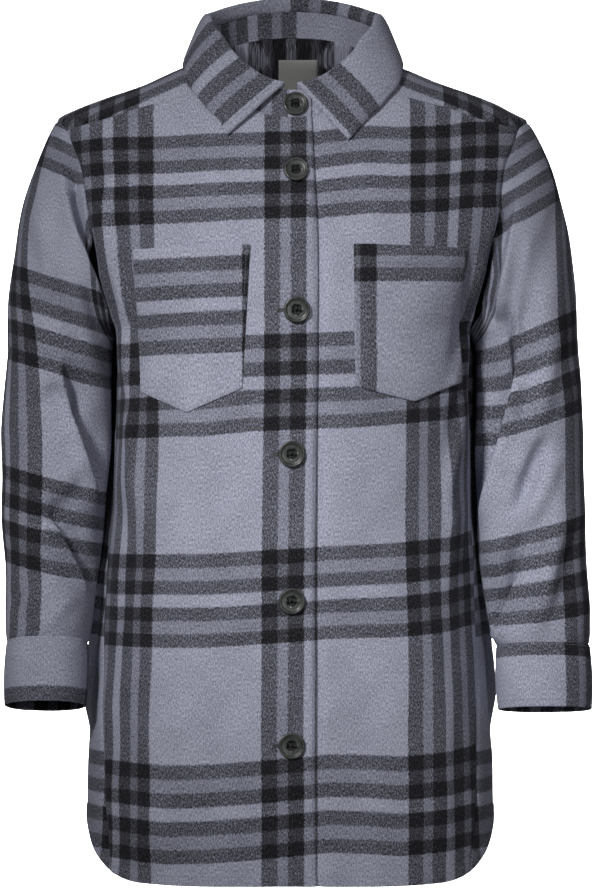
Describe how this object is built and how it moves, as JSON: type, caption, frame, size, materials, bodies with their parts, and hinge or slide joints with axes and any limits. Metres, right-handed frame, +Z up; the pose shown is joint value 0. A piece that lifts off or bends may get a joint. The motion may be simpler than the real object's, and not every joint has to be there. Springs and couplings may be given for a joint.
{
  "type": "plaid shacket",
  "caption": "Hip-length plaid overshirt in its worn shape, with a pointed collar, buttoned front, back yoke, two chest pockets and cuffed sleeves.",
  "frame": {"origin": "middle of the neck, level with the shoulder points, where the wearer holds the garment up", "axes": "+Z up, -Y out of the garment's front, +X towards the wearer's left"},
  "size_m": [0.5631, 0.2846, 0.8514],
  "materials": {
    "cloth": "matte",
    "button": "satin",
    "label": "satin"
  },
  "bodies": {
    "root": {"front_left": "cloth", "front_right": "cloth", "back": "cloth", "yoke": "cloth", "collar_stand": "cloth", "collar": "cloth", "sleeve_left": "cloth", "sleeve_right": "cloth", "cuff_left": "cloth", "cuff_right": "cloth", "pocket_left": "cloth", "pocket_right": "cloth", "label": "label", "button_collar": "button", "button_1": "button", "button_2": "button", "button_3": "button", "button_4": "button", "button_5": "button", "button_cuff_left": "button", "button_cuff_right": "button"}
  },
  "joints": []
}
